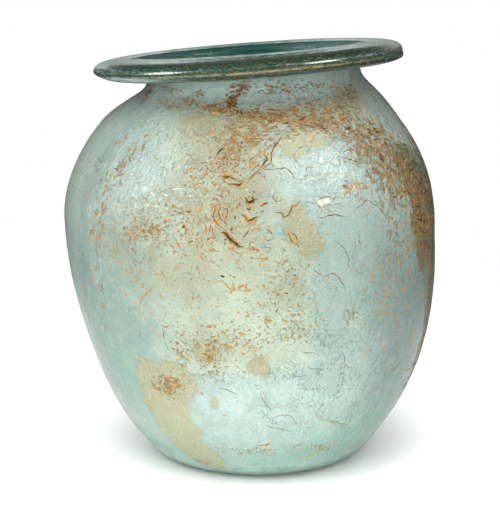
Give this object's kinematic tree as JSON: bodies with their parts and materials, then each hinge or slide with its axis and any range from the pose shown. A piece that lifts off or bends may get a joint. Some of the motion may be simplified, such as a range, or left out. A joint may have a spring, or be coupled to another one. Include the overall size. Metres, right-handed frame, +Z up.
{
  "type": "glass cinerary urn",
  "caption": "Blown glass cinerary urn: ovoid body leaning slightly, narrow flat foot, short neck and a broad, sloping, folded and rolled rim round an open mouth.",
  "frame": {"origin": "middle of the flat foot, on the surface that the urn stands on", "axes": "+Z up through the mouth; -Y is the front, where the lip stands highest; the rim's low side is at -X"},
  "size_m": [0.2065, 0.206, 0.23],
  "materials": {
    "weathered_glass": "blue-green blown glass under a thin, patchy weathering crust: aqua where clear, cream, ochre and dark brown where crusted, with small iridescent spots; soft satin gloss, glossier on the rim"
  },
  "bodies": {
    "root": {"urn": "weathered_glass"}
  },
  "joints": []
}
